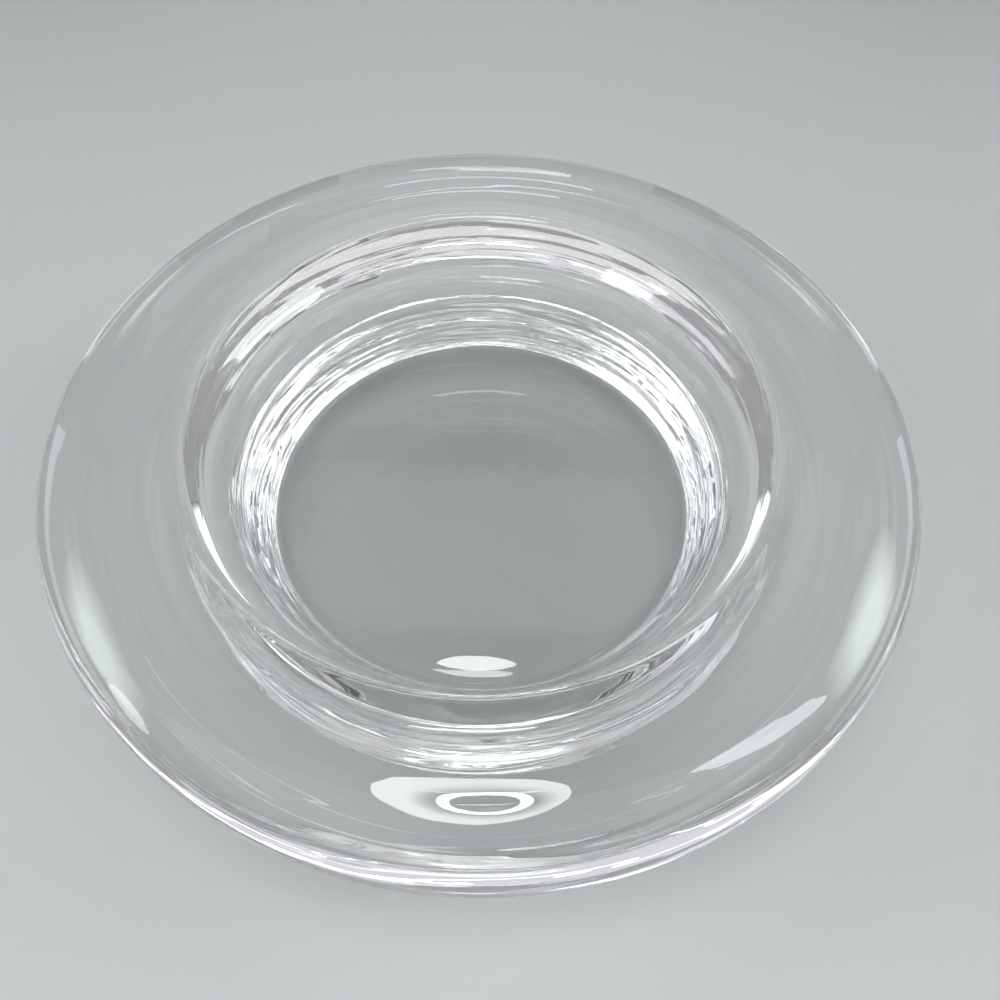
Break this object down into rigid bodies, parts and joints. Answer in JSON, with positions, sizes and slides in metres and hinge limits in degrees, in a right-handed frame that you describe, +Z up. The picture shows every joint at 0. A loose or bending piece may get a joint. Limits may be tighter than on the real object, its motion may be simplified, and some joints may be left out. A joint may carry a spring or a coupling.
{
  "type": "votive bowl",
  "caption": "Heavy clear glass votive bowl with a round flat-floored well, a thick base and a broad rolled rim that overhangs the foot.",
  "frame": {"origin": "centre of the flat foot, on the surface that the bowl stands on", "axes": "+Z up along the bowl's axis of revolution, out of the mouth; X and Y are equivalent"},
  "size_m": [0.13, 0.13, 0.039],
  "materials": {
    "clear_glass": "fire-polished clear glass with faint waves from hand forming"
  },
  "bodies": {
    "root": {"glass_bowl": "clear_glass"}
  },
  "joints": []
}
